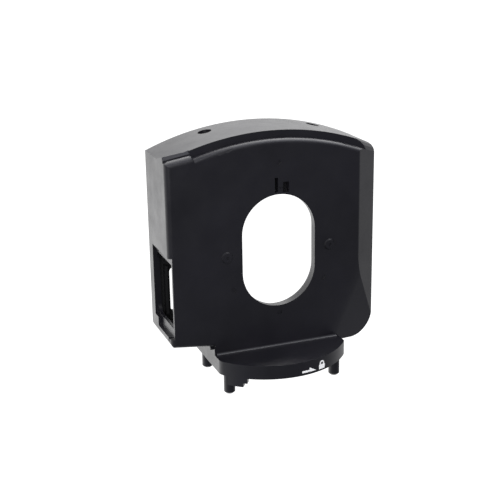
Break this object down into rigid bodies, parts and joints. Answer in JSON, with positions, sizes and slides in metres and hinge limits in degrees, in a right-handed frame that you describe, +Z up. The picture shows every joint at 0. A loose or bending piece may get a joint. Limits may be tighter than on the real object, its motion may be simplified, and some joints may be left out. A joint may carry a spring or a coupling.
{
  "type": "twist-lock mounting block",
  "caption": "Arched moulded mounting block with an obround window and a side finger port, on a round-fronted twist-lock foot with pegs and a spring lock pin.",
  "frame": {"origin": "on the foot's axis, in the plane where the foot seats on its base", "axes": "+Z up, -Y is the front plate's side, +X to the right when facing the front plate"},
  "size_m": [0.099, 0.0514, 0.1121],
  "materials": {
    "housing_plastic": "satin",
    "foot_plastic": "satin",
    "cover_plastic": "satin",
    "ring_plastic": "semi-gloss",
    "rivet_plastic": "satin",
    "tab_plastic": "satin",
    "sleeve_plastic": "satin",
    "screw_steel": "black oxide",
    "insert_brass": "knurled",
    "pin_steel": "ground",
    "spring_steel": "drawn",
    "pad_rubber": "matt",
    "print_paint": "printed ink"
  },
  "bodies": {
    "block": {"front_housing": "housing_plastic", "rear_cover": "cover_plastic", "twist_lock_foot": "foot_plastic", "window_ring": "ring_plastic", "window_rivets": "rivet_plastic", "rear_cover_screws": "screw_steel", "cover_screw_inserts": "insert_brass", "top_socket_inserts": "insert_brass", "foot_screws": "screw_steel", "foot_screw_inserts": "insert_brass", "plunger_body": "sleeve_plastic", "plunger_cap": "insert_brass", "lock_spring": "spring_steel", "anti_rattle_pad": "pad_rubber", "lock_print": "print_paint"},
    "lock_plunger": {"lock_pin": "pin_steel", "release_tab": "tab_plastic", "tab_washer": "pin_steel", "tab_nut": "pin_steel"}
  },
  "joints": [
    {"name": "lock_plunger_slide", "type": "slide", "parent": "block", "child": "lock_plunger", "axis": [0, 0, 1], "range_m": [0, 0.0055], "stiffness_N_per_m": 350, "springref_m": -0.004, "deforming": ["lock_spring"]}
  ]
}
